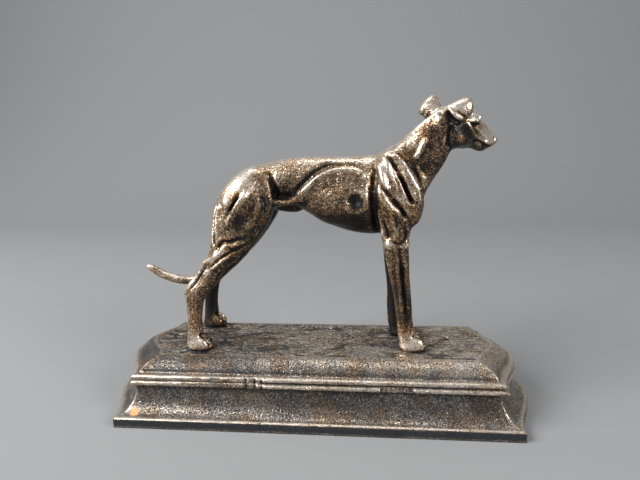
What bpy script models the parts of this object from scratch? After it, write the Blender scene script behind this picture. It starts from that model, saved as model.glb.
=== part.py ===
"""A standing greyhound, cast in iron, on a moulded plinth with bowed ends.

The dog faces +X, its right flank is at -Y, and +Z is up. The origin is at the
centre of the plinth's underside. Sizes are in metres.
"""

import math

import bmesh
import bpy
import numpy as np
from mathutils import Matrix

# Plinth: an iron shell, open below.
PLINTH_LENGTH = 0.200  # between the corners, without the bowed ends
PLINTH_WIDTH = 0.079
END_BOW = 0.0108  # how far each end swells past its corners
WALL = 0.0045
LIP_HEIGHT = 0.0048
COVE_HEIGHT = 0.0140
COVE_INSET = 0.0094
BEAD_HEIGHT = 0.0030
BEAD_PROUD = 0.0027
FILLET_HEIGHT = 0.0009
SHOULDER_HEIGHT = 0.0057
SHOULDER_INSET = 0.0078
END_STEPS = 14
CURVE_STEPS = 4
BEAD_STEPS = 5

# Figure: it stands on the plinth, from its soles to the tops of its ears.
FIGURE_HEIGHT = 0.127
SOLE_GAP = 0.0003
FIGURE_TRIANGLES = 7900
PART = FIGURE_HEIGHT / 100  # stations below are in hundredths of the figure's height
GRAIN = 0.0048 * FIGURE_HEIGHT  # the voxel that fuses the muscles into one casting

DOME_RINGS = (37, 64)  # degrees round from a limb's last section to its domed tip

BRONZED_IRON = (0.115, 0.085, 0.062)
WORN_IRON = (0.090, 0.072, 0.058)

# Every row of a limb is x, y, z, half its breadth across the dog, half its depth.
TORSO = [
    (-35.5, 0, 57.5, 5.0, 7.0),
    (-30.0, 0, 60.5, 7.8, 8.6),
    (-22.0, 0, 64.6, 8.4, 9.3),
    (-14.0, 0, 66.8, 7.6, 9.3),
    (-6.0, 0, 67.6, 7.4, 10.0),
    (2.0, 0, 66.0, 8.4, 12.0),
    (10.0, 0, 63.8, 9.4, 14.0),
    (18.0, 0, 62.2, 10.0, 15.3),
    (25.0, 0, 62.2, 9.6, 15.9),
    (31.0, 0, 63.0, 8.6, 15.4),
    (35.0, 0, 63.4, 7.4, 13.6),
]
RIBCAGE = [
    (-7.5, 0, 60.2, 4.6, 1.4),
    (-4.0, 0, 60.4, 6.0, 4.0),
    (0.0, 0, 60.8, 8.0, 7.6),
    (5.0, 0, 61.0, 9.8, 10.4),
    (11.0, 0, 61.0, 11.2, 11.6),
    (17.0, 0, 60.6, 11.8, 11.8),
    (24.0, 0, 60.6, 11.2, 11.0),
    (30.0, 0, 61.0, 8.5, 9.5),
]
NECK = [
    (29.0, 0, 66.0, 6.5, 12.0),
    (35.5, 0, 71.0, 6.4, 11.6),
    (40.5, 0, 75.8, 5.6, 9.9),
    (44.5, 0, 80.2, 5.0, 8.8),
    (48.5, 0.4, 84.6, 4.8, 8.0),
    (51.5, 1.0, 88.0, 4.8, 7.0),
]
CHEST = [
    (46.6, 0, 80.0, 4.4, 4.6),
    (43.6, 0, 72.6, 5.0, 5.0),
    (40.0, 0, 66.0, 5.8, 4.9),
    (38.4, 0, 60.0, 6.0, 4.5),
    (36.6, 0, 53.5, 5.4, 4.6),
    (34.5, 0, 49.4, 4.0, 3.4),
]
SHEATH = [
    (-17.0, 0, 58.0, 1.6, 1.6),
    (-11.0, 0, 57.0, 1.8, 1.8),
    (-6.5, 0, 56.4, 1.5, 1.5),
]
TAIL = [
    (-33.0, 0, 65.5, 3.0, 3.0),
    (-37.8, 0, 59.0, 2.7, 2.6),
    (-40.3, 0, 51.0, 2.4, 2.2),
    (-41.8, 0, 43.0, 2.2, 2.0),
    (-43.4, 0, 35.5, 2.1, 1.9),
    (-47.5, 0, 29.0, 2.0, 1.8),
    (-54.5, 0, 26.2, 1.9, 1.8),
    (-61.8, 0, 27.1, 1.8, 1.7),
    (-67.5, 0, 29.4, 1.5, 1.4),
    (-72.3, 0, 32.6, 1.1, 1.0),
]

# Legs and the folds of the flanks are drawn for the left side.
FLANK_FOLD = [
    (-16.5, 7.0, 61.6, 1.8, 1.8),
    (-12.0, 6.4, 60.0, 1.2, 1.2),
    (-8.0, 5.8, 60.4, 1.2, 1.2),
    (-3.0, 6.6, 62.2, 1.0, 1.2),
]
THIGH = [
    (-22.5, 4.0, 69.5, 4.2, 6.8),
    (-25.9, 6.2, 62.5, 6.0, 10.2),
    (-27.8, 7.6, 55.8, 6.4, 10.6),
    (-30.9, 8.6, 48.7, 5.8, 9.5),
    (-34.2, 9.4, 42.0, 4.6, 7.5),
    (-38.7, 9.9, 35.4, 3.6, 5.3),
    (-43.4, 10.2, 29.8, 2.8, 4.5),
    (-48.2, 10.4, 24.0, 2.5, 4.4),
    (-49.4, 10.4, 17.0, 2.4, 3.6),
    (-49.8, 10.4, 10.5, 2.4, 3.2),
    (-50.0, 10.4, 4.5, 2.9, 3.7),
]
HAMSTRING = [
    (-32.5, 4.8, 65.0, 2.6, 2.6),
    (-37.0, 6.6, 57.0, 2.8, 2.6),
    (-38.0, 8.2, 49.0, 2.5, 2.4),
    (-38.8, 9.4, 42.0, 1.8, 2.0),
    (-43.4, 10.0, 35.6, 1.4, 1.5),
    (-48.0, 10.3, 30.4, 1.2, 1.4),
    (-51.6, 10.4, 25.2, 1.6, 1.8),
    (-51.6, 10.4, 21.5, 1.4, 1.6),
]
QUADRICEPS = [
    (-19.0, 6.0, 66.0, 3.0, 3.6),
    (-19.4, 8.0, 58.0, 3.8, 4.6),
    (-23.2, 9.0, 50.5, 3.6, 4.2),
    (-26.6, 9.6, 45.0, 3.0, 3.4),
]
SHOULDER = [
    (29.0, 4.2, 77.0, 2.4, 4.4),
    (33.6, 6.2, 69.0, 3.2, 6.0),
    (37.6, 6.8, 60.5, 3.4, 5.4),
    (37.0, 7.0, 53.5, 3.0, 4.6),
]
TRICEPS = [
    (28.0, 6.4, 73.0, 2.8, 3.0),
    (28.4, 8.0, 64.0, 3.6, 4.6),
    (30.0, 8.4, 56.0, 3.6, 5.2),
    (31.4, 8.0, 50.0, 3.2, 4.6),
]
FORELEG = [
    (33.0, 7.4, 54.0, 3.6, 6.0),
    (32.0, 7.5, 46.0, 3.6, 5.4),
    (32.8, 7.5, 39.0, 3.2, 4.9),
    (33.6, 7.5, 32.0, 2.8, 4.3),
    (34.6, 7.5, 25.5, 2.6, 3.8),
    (35.4, 7.5, 19.8, 2.8, 3.6),
    (36.0, 7.5, 12.5, 2.5, 3.4),
    (37.0, 7.5, 5.0, 2.8, 3.7),
]
# The left legs leave their joints as the right ones do, then stand a little apart from them:
# the height where they part, and how far apart the paws are, along and across the dog.
FAR_FORELEG = (43.0, -3.4, -0.8)
FAR_HIND_LEG = (50.0, -0.6, 2.8)
FULLY_APART = 12.0  # the height at which the whole of that shift is reached
PAW_RADII = (5.7, 3.9, 3.4)
HIND_PAW = (-48.7, 10.4, 1.8)
FORE_PAW = (39.2, 7.6, 1.8)
TOES = 4
TOE_SPREAD = 1.75  # between neighbouring toes
TOE_REACH = 5.0  # of the middle toes, ahead of the pad
TOE_DROP = 0.55  # how much the outer toes fall short

# The head has its own axes: x to the nose, y to the left ear, z up, from the poll.
POLL = (51.8, 1.4, 88.0)
HEAD_TURN = 33.0  # degrees, to the dog's left
HEAD_ROLL = 6.0  # degrees, right ear down
SKULL = [
    (-3.2, 0, -0.4, 4.6, 6.8),
    (1.0, 0, 0.1, 5.2, 8.0),
    (5.4, 0, -0.7, 5.1, 7.7),
    (9.6, 0, -1.9, 4.6, 6.6),
    (13.4, 0, -3.4, 3.6, 5.8),
    (17.1, 0, -4.5, 3.0, 5.2),
    (20.8, 0, -5.7, 2.5, 3.9),
    (23.8, 0, -6.3, 2.2, 2.8),
    (25.4, 0, -6.1, 1.8, 1.8),
]
EYE = [(7.4, 3.6, 2.9, 1.5, 1.4), (9.5, 4.0, 2.8, 2.1, 1.9), (11.6, 3.5, 2.2, 1.5, 1.3)]
CHEEK = [(1.0, 4.0, -3.0, 1.8, 3.0), (5.0, 4.0, -4.6, 1.9, 2.8), (9.0, 3.2, -5.6, 1.4, 2.0)]
# The ear rises from the skull, folds over outward and hangs. Its breadth runs up and forward.
EAR = [
    (-1.8, 2.8, 4.6, 3.2, 1.9),
    (-2.2, 4.8, 7.5, 4.3, 1.5),
    (-2.1, 6.9, 8.3, 4.9, 1.4),
    (-1.8, 8.4, 6.7, 4.8, 1.5),
    (-1.2, 9.0, 4.5, 3.8, 1.4),
    (-0.5, 8.9, 2.7, 2.0, 1.0),
]
EAR_BREADTH = (0.83, 0.30, 0.44)
FAR_EAR_BACK = 2.4  # the left ear is laid back this much further

ANKLE = 12.0  # the body's muscles are softened above this height
THROAT = 47.0  # and behind this place
# Lines cut or raised on both flanks, drawn as x, z: width, height and the path.
FLANK_LINES = [
    (1.3, -1.0, [(25.0, 74.0), (23.6, 68.4), (23.8, 60.7), (24.4, 53.0), (26.4, 48.4)]),
    (1.2, -1.2, [(30.0, 77.0), (31.8, 72.6), (34.5, 66.9), (37.0, 60.2), (38.4, 57.0)]),
    (1.1, -0.8, [(35.4, 75.4), (38.3, 72.3), (40.6, 67.2), (41.8, 63.0)]),
    (1.1, -1.0, [(26.4, 69.4), (29.9, 63.2), (33.2, 58.8), (36.0, 54.1), (37.0, 50.4)]),
    (1.1, -0.7, [(28.0, 53.4), (29.2, 49.8), (31.2, 47.0)]),
    (1.6, -1.0, [(-8.5, 61.6), (-3.0, 66.6), (2.2, 71.0), (8.8, 73.6), (16.0, 73.4), (21.6, 71.6)]),
    (2.2, -1.0, [(-15.0, 66.4), (-11.4, 64.4), (-7.6, 63.4)]),
    (1.4, -1.0, [(-17.2, 72.6), (-15.7, 69.9), (-14.0, 65.0), (-13.4, 62.0)]),
    (1.3, -0.9, [(-27.0, 65.6), (-29.6, 60.5), (-31.8, 54.6), (-33.4, 48.6)]),
    (1.3, -0.5, [(-32.2, 43.4), (-28.7, 44.6), (-25.0, 46.0), (-22.2, 47.6)]),
    (0.9, -0.9, [(-38.6, 41.4), (-42.4, 35.6), (-46.0, 30.0), (-49.8, 25.4)]),
]
LINE_TAPER = 5  # each line fades in and out over this fraction of its length
DIMPLE = (15.4, 62.0, 2.8, -1.4)  # x, z, width and depth, on the right flank only
# The same, for both sides of the head, in the head's own axes, ahead of the stop.
STOP = 12.0
FACE_LINES = [
    (0.7, -0.9, [(10.4, -5.6), (14.5, -5.9), (17.0, -6.9), (20.2, -8.0), (23.2, -8.0)]),
    (0.7, -0.6, [(11.9, -0.9), (13.6, -2.6), (15.3, -4.0), (19.8, -4.9)]),
    (0.9, 0.5, [(9.6, -2.0), (13.8, -4.3), (18.1, -6.0), (22.3, -6.6)]),
]


def spline(rows, steps):
    """Points of a Catmull-Rom curve through the rows, steps of them to each span."""
    rows = np.array(rows, float)
    first = 2 * rows[0] - rows[1]
    last = 2 * rows[-1] - rows[-2]
    knots = np.vstack([first, rows, last])
    points = []
    for i in range(1, len(knots) - 2):
        a, b, c, d = knots[i - 1 : i + 3]
        for t in np.arange(steps) / steps:
            points.append(
                b + 0.5 * t * (c - a + t * (2 * a - 5 * b + 4 * c - d + t * (3 * (b - c) + d - a)))
            )
    return np.array([*points, knots[-2]])


def loft(bm, rings, poles=None):
    """A closed body through rings of points. Each end is a flat face, or runs to its pole."""
    rows = [[bm.verts.new(point) for point in ring] for ring in rings]
    count = len(rows[0])
    for lower, upper in zip(rows, rows[1:]):
        for i in range(count):
            j = (i + 1) % count
            bm.faces.new((lower[i], lower[j], upper[j], upper[i]))
    if poles is None:
        bm.faces.new(rows[0][::-1])
        bm.faces.new(rows[-1])
        return
    start, end = (bm.verts.new(pole) for pole in poles)
    for i in range(count):
        j = (i + 1) % count
        bm.faces.new((start, rows[0][j], rows[0][i]))
        bm.faces.new((end, rows[-1][i], rows[-1][j]))


def limb(bm, rows, steps=4, sides=16, side_axis=(0, 1, 0)):
    """A rounded limb: elliptical sections square to its path, with domed ends."""
    points = spline(rows, steps)
    centres, radii = points[:, :3], points[:, 3:5]
    along = np.gradient(centres, axis=0)
    along /= np.linalg.norm(along, axis=1)[:, None]
    across = np.array(side_axis, float) - along * (along @ np.array(side_axis, float))[:, None]
    across /= np.linalg.norm(across, axis=1)[:, None]
    upright = np.cross(along, across)
    lifts = [math.sin(math.radians(ring)) for ring in DOME_RINGS]
    sections = [(0, -lift) for lift in reversed(lifts)]
    sections += [(i, 0.0) for i in range(len(points))]
    sections += [(len(points) - 1, lift) for lift in lifts]
    angles = np.arange(sides) * 2 * math.pi / sides
    rings = []
    for i, lift in sections:
        shrink = math.sqrt(1 - lift * lift)
        centre = centres[i] + along[i] * lift * radii[i].min()
        wide = np.outer(np.cos(angles) * radii[i, 0] * shrink, across[i])
        deep = np.outer(np.sin(angles) * radii[i, 1] * shrink, upright[i])
        rings.append(centre + wide + deep)
    ends = [centres[i] + along[i] * lift * radii[i].min() for i, lift in ((0, -1), (-1, 1))]
    loft(bm, rings, ends)


def on_side(rows, side):
    """The rows of a limb, on the left for side 1 or the right for -1."""
    return [(x, side * y, z, *radii) for x, y, z, *radii in rows]


def leg_shift(height, shift):
    """How far the left leg stands from where the right one would, at this height."""
    start, along, across = shift
    share = min(1.0, max(0.0, (start - height) / (start - FULLY_APART)))
    return along * share, across * share


def leg(rows, side, shift):
    """The rows of a leg on its side, the left one shifted as it goes down."""
    placed = []
    for x, y, z, *radii in rows:
        along, across = leg_shift(z, shift) if side > 0 else (0.0, 0.0)
        placed.append((x + along, side * (y + across), z, *radii))
    return placed


def paw(bm, place, side, shift):
    """A pad and its arched toes."""
    (x, y, z, *_), = leg([place], side, shift)
    ball = bmesh.ops.create_uvsphere(bm, u_segments=16, v_segments=10, radius=1.0)["verts"]
    bmesh.ops.scale(bm, vec=PAW_RADII, verts=ball)
    bmesh.ops.translate(bm, vec=(x, y, z), verts=ball)
    for toe in range(TOES):
        spread = toe - (TOES - 1) / 2
        reach = TOE_REACH - TOE_DROP * spread * spread
        toe_y = y + TOE_SPREAD * spread
        limb(
            bm,
            [
                (x - 0.6, y + 1.2 * spread, z + 2.7, 1.2, 1.5),
                (x + 0.62 * reach, toe_y, z + 1.9, 1.25, 1.6),
                (x + reach, toe_y + 0.12 * spread, z - 0.6, 1.15, 1.4),
            ],
            steps=3,
            sides=10,
        )


def head_matrix():
    """From the head's own axes to the figure's."""
    turn = Matrix.Rotation(math.radians(HEAD_TURN), 4, "Z")
    roll = Matrix.Rotation(math.radians(HEAD_ROLL), 4, "X")
    return Matrix.Translation(POLL) @ turn @ roll


def add_head(bm):
    before = set(bm.verts)
    limb(bm, SKULL)
    for side in (-1, 1):
        limb(bm, on_side(EYE, side), sides=12)
        limb(bm, on_side(CHEEK, side), sides=12)
        along, across, up = EAR_BREADTH
        laid_back = FAR_EAR_BACK if side > 0 else 0.0
        ear = [(x - laid_back, *rest) for x, *rest in on_side(EAR, side)]
        limb(bm, ear, sides=12, side_axis=(along, side * across, up))
    made = [vertex for vertex in bm.verts if vertex not in before]
    bmesh.ops.transform(bm, matrix=head_matrix(), verts=made)


def add_body(bm):
    for rows in (TORSO, RIBCAGE, NECK, CHEST, SHEATH, TAIL):
        limb(bm, rows, sides=24)
    for side in (-1, 1):
        limb(bm, on_side(FLANK_FOLD, side))
        for rows in (THIGH, HAMSTRING, QUADRICEPS):
            limb(bm, leg(rows, side, FAR_HIND_LEG))
        for rows in (SHOULDER, TRICEPS, FORELEG):
            limb(bm, leg(rows, side, FAR_FORELEG))
        paw(bm, HIND_PAW, side, FAR_HIND_LEG)
        paw(bm, FORE_PAW, side, FAR_FORELEG)


def neighbours(mesh):
    ends = np.empty(len(mesh.edges) * 2, np.int64)
    mesh.edges.foreach_get("vertices", ends)
    return ends.reshape(-1, 2)


def relax(values, edges, rounds, share):
    """Moves each vertex's value towards its neighbours' mean. share may differ by vertex."""
    ends = np.concatenate([edges[:, 0], edges[:, 1]])
    others = np.concatenate([edges[:, 1], edges[:, 0]])
    count = np.bincount(ends, minlength=len(values))
    for _ in range(rounds):
        total = [np.bincount(ends, axis[others], len(values)) for axis in values.T]
        values = values + share * (np.transpose(total / count) - values)
    return values


def near_path(points, path):
    """How far each point is from a path in the plane, and where along it from 0 to 1."""
    nearest = np.full(len(points), np.inf)
    place = np.zeros(len(points))
    for i, (start, end) in enumerate(zip(path, path[1:])):
        span = end - start
        share = np.clip((points - start) @ span / (span @ span), 0, 1)
        away = np.linalg.norm(points - start - share[:, None] * span, axis=1)
        place = np.where(away < nearest, (i + share) / (len(path) - 1), place)
        nearest = np.minimum(away, nearest)
    return nearest, place


def line_lift(points, normals, lines):
    """How far each point moves along its normal for lines drawn on both flanks, x and z."""
    lift = np.zeros(len(points))
    outward = np.clip(2.2 * normals[:, 1] * np.sign(points[:, 1]), 0, 1)
    for width, height, path in lines:
        away, place = near_path(points[:, [0, 2]], spline(path, 4))
        taper = np.clip(LINE_TAPER * np.minimum(place, 1 - place), 0.15, 1)
        lift += height * taper * outward * np.exp(-((away / width) ** 2))
    return lift


def vertex_normals(mesh):
    normals = np.empty(len(mesh.vertices) * 3)
    mesh.vertex_normals.foreach_get("vector", normals)
    return normals.reshape(-1, 3)


def carve(mesh):
    """Softens the joins between muscles, then draws the grooves between them."""
    points = np.empty(len(mesh.vertices) * 3)
    mesh.vertices.foreach_get("co", points)
    points = points.reshape(-1, 3) / PART
    edges = neighbours(mesh)
    body = (points[:, 2] > ANKLE) & (points[:, 0] < THROAT)
    points = relax(points, edges, rounds=5, share=0.5)
    points = relax(points, edges, rounds=14, share=0.5 * body[:, None])
    mesh.vertices.foreach_set("co", (points * PART).ravel())
    mesh.update()
    normals = relax(vertex_normals(mesh), edges, rounds=6, share=0.5)
    lift = line_lift(points, normals, FLANK_LINES)
    x, z, width, depth = DIMPLE
    away = np.linalg.norm(points[:, [0, 2]] - (x, z), axis=1)
    lift += (points[:, 1] < 0) * depth * np.exp(-((away / width) ** 2))
    turn = np.array(head_matrix())
    local = (points - turn[:3, 3]) @ turn[:3, :3]
    muzzle = (np.abs(local[:, 1]) < 5.6) & (local[:, 0] > STOP)
    lift += muzzle * line_lift(local, normals @ turn[:3, :3], FACE_LINES)
    points += normals * lift[:, None]
    points = relax(points, edges, rounds=2, share=0.5)
    mesh.vertices.foreach_set("co", (points * PART).ravel())
    mesh.update()


def plinth_outline(inset):
    """The plinth's plan at an inset from its lip, counter-clockwise, with both ends bowed."""
    half_length = PLINTH_LENGTH / 2 - inset
    half_width = PLINTH_WIDTH / 2 - inset
    end = []
    for i in range(END_STEPS + 1):
        share = 2 * i / END_STEPS - 1
        swell = END_BOW * (1 + math.cos(math.pi * share)) / 2
        end.append((half_length + swell, half_width * share))
    return end + [(-x, -y) for x, y in end]


def arc(start, end, bulge):
    """Points of a quarter ellipse from start to end, not counting start: inset and height."""
    points = []
    for i in range(1, CURVE_STEPS + 1):
        angle = i / CURVE_STEPS * math.pi / 2
        run, rise = math.sin(angle), 1 - math.cos(angle)
        if bulge:
            run, rise = 1 - math.cos(angle), math.sin(angle)
        points.append((start[0] + run * (end[0] - start[0]), start[1] + rise * (end[1] - start[1])))
    return points


def bead(inset, bottom):
    """A half-round moulding that stands proud of the face at this inset."""
    half = BEAD_HEIGHT / 2
    return [
        (inset - BEAD_PROUD * math.sin(angle), bottom + half * (1 - math.cos(angle)))
        for angle in (math.pi * i / BEAD_STEPS for i in range(1, BEAD_STEPS + 1))
    ]


def plinth_cove():
    """The hollow curve above the lip: inset and height."""
    start = (FILLET_HEIGHT, LIP_HEIGHT + FILLET_HEIGHT / 2)
    return [start, *arc(start, (COVE_INSET, LIP_HEIGHT + COVE_HEIGHT), bulge=False)]


def plinth_profile():
    """The outer face from the lip up to the ground: inset and height."""
    profile = [(0.0, 0.0), (0.0, LIP_HEIGHT), *plinth_cove()]
    profile += bead(*profile[-1])
    second = profile[-1][1]
    profile += bead(COVE_INSET + FILLET_HEIGHT, second)
    step = (COVE_INSET + 2 * FILLET_HEIGHT, second + BEAD_HEIGHT + FILLET_HEIGHT)
    profile.append(step)
    profile += arc(step, (step[0] + SHOULDER_INSET, step[1] + SHOULDER_HEIGHT), bulge=True)
    return profile


def plinth_hollow_profile():
    """The inner face, a wall's thickness inside the outer one."""
    ground_inset, ground = plinth_profile()[-1]
    walls = [(inset + WALL, height) for inset, height in plinth_cove()]
    return [(WALL, -WALL), *walls, (ground_inset + WALL, ground - WALL)]


def plinth_top():
    return plinth_profile()[-1][1]


def plinth_rings(profile):
    return [[(x, y, height) for x, y in plinth_outline(inset)] for inset, height in profile]


def material(name, colour, roughness, metallic):
    made = bpy.data.materials.new(name)
    made.use_nodes = True
    shader = made.node_tree.nodes["Principled BSDF"]
    shader.inputs["Base Color"].default_value = (*colour, 1.0)
    shader.inputs["Roughness"].default_value = roughness
    shader.inputs["Metallic"].default_value = metallic
    return made


def add_object(name, mesh, collection, finish=None, crease=None):
    """A new object; with a crease angle in degrees, shaded smooth up to that angle."""
    made = bpy.data.objects.new(name, mesh)
    collection.objects.link(made)
    if finish is not None:
        mesh.materials.append(finish)
    if crease is not None:
        mesh.shade_smooth()
        mesh.set_sharp_from_angle(angle=math.radians(crease))
    return made


def mesh_from(bm, name):
    bmesh.ops.recalc_face_normals(bm, faces=bm.faces)
    mesh = bpy.data.meshes.new(name)
    bm.to_mesh(mesh)
    bm.free()
    return mesh


def cutter_object(name, mesh, collection):
    cutter = add_object(name, mesh, collection)
    cutter.hide_render = True
    cutter.display_type = "WIRE"
    return cutter


def cut(target, cutter):
    modifier = target.modifiers.new(f"cut_{cutter.name}", "BOOLEAN")
    modifier.operation = "DIFFERENCE"
    modifier.object = cutter


def build_plinth(parts, cutters):
    bm = bmesh.new()
    loft(bm, plinth_rings(plinth_profile()))
    iron = material("worn_iron", WORN_IRON, 0.6, 0.7)
    plinth = add_object("plinth", mesh_from(bm, "plinth"), parts, iron, crease=32)
    hollow = bmesh.new()
    loft(hollow, plinth_rings(plinth_hollow_profile()))
    cut(plinth, cutter_object("plinth_hollow", mesh_from(hollow, "plinth_hollow"), cutters))


def build_figure(parts, cutters):
    bm = bmesh.new()
    add_body(bm)
    add_head(bm)
    bmesh.ops.scale(bm, vec=(PART, PART, PART), verts=bm.verts)
    rough = add_object("rough_figure", mesh_from(bm, "rough_figure"), cutters)
    fuse = rough.modifiers.new("fuse", "REMESH")
    fuse.mode = "VOXEL"
    fuse.voxel_size = GRAIN
    graph = bpy.context.evaluated_depsgraph_get()
    fused = bpy.data.meshes.new_from_object(rough.evaluated_get(graph))
    bpy.data.objects.remove(rough)
    carve(fused)
    iron = material("bronzed_iron", BRONZED_IRON, 0.5, 0.75)
    fused.transform(Matrix.Translation((0, 0, plinth_top() + SOLE_GAP)))
    figure = add_object("greyhound", fused, parts, iron, crease=60)
    thin = figure.modifiers.new("thin", "DECIMATE")
    fused.calc_loop_triangles()
    thin.ratio = FIGURE_TRIANGLES / len(fused.loop_triangles)
    ground = bmesh.new()
    block = bmesh.ops.create_cube(ground, size=1.0)["verts"]
    bmesh.ops.scale(ground, vec=(PLINTH_LENGTH, PLINTH_WIDTH, FIGURE_HEIGHT), verts=block)
    below = plinth_top() + SOLE_GAP - FIGURE_HEIGHT / 2
    bmesh.ops.translate(ground, vec=(0, 0, below), verts=block)
    cut(figure, cutter_object("ground_block", mesh_from(ground, "ground_block"), cutters))


def main():
    for leftover in list(bpy.data.objects):
        bpy.data.objects.remove(leftover)
    parts = bpy.data.collections.new("greyhound_statue")
    cutters = bpy.data.collections.new("cutters")
    bpy.context.scene.collection.children.link(parts)
    bpy.context.scene.collection.children.link(cutters)
    build_plinth(parts, cutters)
    build_figure(parts, cutters)


if __name__ == "__main__":
    main()
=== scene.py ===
"""Looks of a cast-iron greyhound on a moulded plinth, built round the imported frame.

The dog faces +X with its right flank at -Y. Every size is in metres unless a
name or comment says hundredths, which are hundredths of the dog's own height.
"""

import math
import random

import bmesh
import bpy
import numpy as np
from bpy.props import FloatProperty, FloatVectorProperty, IntProperty, PointerProperty
from mathutils import Matrix, Vector, noise
from mathutils.bvhtree import BVHTree


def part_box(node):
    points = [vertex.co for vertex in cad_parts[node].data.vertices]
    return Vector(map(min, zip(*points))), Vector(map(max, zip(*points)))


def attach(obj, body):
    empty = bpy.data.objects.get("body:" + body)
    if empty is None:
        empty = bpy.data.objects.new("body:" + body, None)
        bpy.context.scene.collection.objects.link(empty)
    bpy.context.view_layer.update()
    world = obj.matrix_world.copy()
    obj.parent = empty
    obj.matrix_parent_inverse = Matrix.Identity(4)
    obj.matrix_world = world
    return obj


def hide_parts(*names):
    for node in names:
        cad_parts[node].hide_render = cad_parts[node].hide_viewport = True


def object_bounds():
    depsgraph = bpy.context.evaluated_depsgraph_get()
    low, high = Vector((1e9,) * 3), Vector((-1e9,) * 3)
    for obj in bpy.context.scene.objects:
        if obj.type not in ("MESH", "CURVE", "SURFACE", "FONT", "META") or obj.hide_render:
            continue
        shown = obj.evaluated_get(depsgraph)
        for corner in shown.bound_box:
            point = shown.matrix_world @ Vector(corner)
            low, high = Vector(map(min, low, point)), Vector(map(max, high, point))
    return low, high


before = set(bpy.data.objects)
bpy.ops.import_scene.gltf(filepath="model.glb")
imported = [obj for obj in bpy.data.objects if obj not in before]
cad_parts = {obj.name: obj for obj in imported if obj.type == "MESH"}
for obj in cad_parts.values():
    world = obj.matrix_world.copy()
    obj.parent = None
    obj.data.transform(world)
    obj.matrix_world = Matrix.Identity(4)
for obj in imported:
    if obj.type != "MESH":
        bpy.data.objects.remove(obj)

bl_info = {
    "name": "Cast greyhound on a plinth",
    "version": (1, 0, 0),
    "blender": (4, 5, 0),
    "location": "View3D > Sidebar > Greyhound",
    "description": "A sand-cast iron greyhound with rubbed bronze paint on a moulded plinth",
    "category": "Object",
}

MERGE = 0.00001
CAD_LOW, CAD_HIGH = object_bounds()
DOG_LOW, DOG_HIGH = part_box("greyhound")
PLINTH_LOW, PLINTH_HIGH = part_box("plinth")
HUNDREDTHS = 99.54  # the dog's height from soles to ears, in its own hundredths
UNIT = (DOG_HIGH.z - DOG_LOW.z) / HUNDREDTHS

# Lines on both flanks, seen from the side: width, depth (raised if positive) and the path as
# x forward and z up from the soles, in hundredths.
FLANK_GROOVES = [
    (0.51, -0.72, [(27.2, 78.5), (29.4, 76.5), (31.3, 73.6), (32.8, 70.6)]),
    (0.72, -1.35, [(32.6, 71.2), (34.4, 67.8), (35.9, 64.4), (37.5, 61.3), (38.6, 59.4)]),
    (0.47, -0.81, [(25.8, 67.8), (27.8, 65.0), (30.2, 62.3)]),
    (0.77, -1.08, [(29.8, 62.6), (32.3, 59.5), (34.0, 57.1), (35.4, 54.6)]),
    (
        1.50,
        -0.80,
        [(24.4, 73.6), (23.8, 69.2), (23.4, 65.1), (23.6, 60.3), (24.2, 56.8), (25.4, 51.6), (26.2, 47.4)],
    ),
    (0.77, -0.90, [(26.8, 54.4), (27.8, 51.1), (28.8, 48.3), (29.5, 46.5)]),
    (0.38, -0.36, [(30.6, 58.1), (31.7, 53.9), (32.4, 49.7)]),
    (0.59, -0.81, [(38.2, 73.6), (39.1, 71.6), (40.5, 68.9), (41.2, 66.2), (41.9, 63.5)]),
    (0.47, -0.54, [(34.1, 51.5), (35.5, 49.7), (35.5, 46.8), (34.2, 45.1), (32.5, 44.5), (30.7, 45.8)]),
    (0.42, -0.63, [(31.7, 78.9), (34.4, 76.4), (36.4, 74.6)]),
    (0.59, -0.54, [(33.1, 43.9), (33.6, 40.5), (34.1, 35.3), (34.2, 29.1)]),
    (1.10, -0.81, [(-15.2, 64.0), (-11.3, 62.4), (-7.6, 62.6)]),
    (1.02, -0.54, [(-7.6, 63.4), (-2.9, 68.3), (2.4, 72.6), (8.8, 75.0)]),
    (0.85, -0.90, [(-16.6, 70.8), (-15.2, 67.5), (-14.2, 64.8), (-14.0, 61.4)]),
    (0.59, -0.81, [(-27.7, 63.6), (-29.9, 60.7), (-31.7, 57.6)]),
    (1.02, -0.72, [(-19.3, 63.4), (-17.9, 60.2), (-18.5, 56.7)]),
    (0.47, -0.81, [(-36.6, 60.5), (-37.2, 58.5), (-38.1, 54.5), (-38.5, 50.5), (-38.3, 46.4), (-37, 42.8)]),
    (0.64, -0.90, [(-37.8, 42.2), (-36.2, 44.6), (-34.3, 46.2), (-30.7, 46.4), (-26.2, 48.2)]),
    (0.42, -0.54, [(-42.8, 34.0), (-37.5, 38.2), (-32.6, 41.6), (-28.0, 44.0)]),
    (0.36, -0.90, [(-41.4, 37.8), (-44.2, 33.8), (-47.0, 29.7), (-51.0, 25.0)]),
    (0.50, -0.90, [(34.0, 38.0), (34.8, 30.0), (35.6, 22.0), (36.6, 13.0)]),
]
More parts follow.
